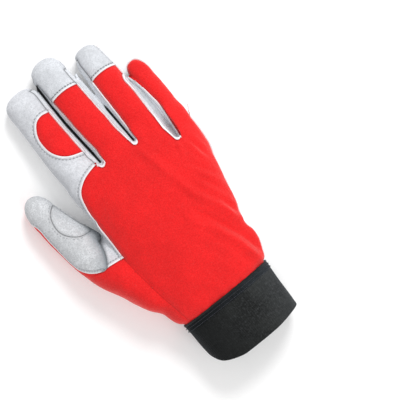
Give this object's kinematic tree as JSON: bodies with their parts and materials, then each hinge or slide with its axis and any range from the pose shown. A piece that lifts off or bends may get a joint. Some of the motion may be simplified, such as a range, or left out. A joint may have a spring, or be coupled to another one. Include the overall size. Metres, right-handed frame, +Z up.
{
  "type": "mechanic glove",
  "caption": "Right-hand work glove lying palm down: grey leather palm and fingertips, red stretch back, knitted cuff with a hook-and-loop strap; hollow and open at the cuff.",
  "frame": {"origin": "on the resting surface, under the middle of the glove's bounding box", "axes": "+Y from the open cuff to the fingertips, +Z up through the back of the hand, -X to the thumb"},
  "size_m": [0.1346, 0.2496, 0.0431],
  "materials": {
    "palm_leather": "suede",
    "tip_leather": "smooth split leather",
    "red_fabric": "stretch knit",
    "cuff_knit": "dense elastic knit",
    "strap_webbing": "hook-and-loop band",
    "strap_rubber": "satin"
  },
  "bodies": {
    "root": {"palm_panel": "palm_leather", "back_panel": "red_fabric", "knuckle_patch": "red_fabric", "thumb_panel": "palm_leather", "thumb_patch": "palm_leather", "side_panel": "red_fabric", "cuff": "cuff_knit", "cuff_binding": "cuff_knit", "wrist_strap": "strap_webbing", "strap_tab": "strap_rubber", "fourchette_index_middle": "tip_leather", "fourchette_middle_ring": "tip_leather", "fourchette_ring_little": "tip_leather", "middle_tip_cap": "tip_leather", "ring_tip_cap": "tip_leather"}
  },
  "joints": []
}
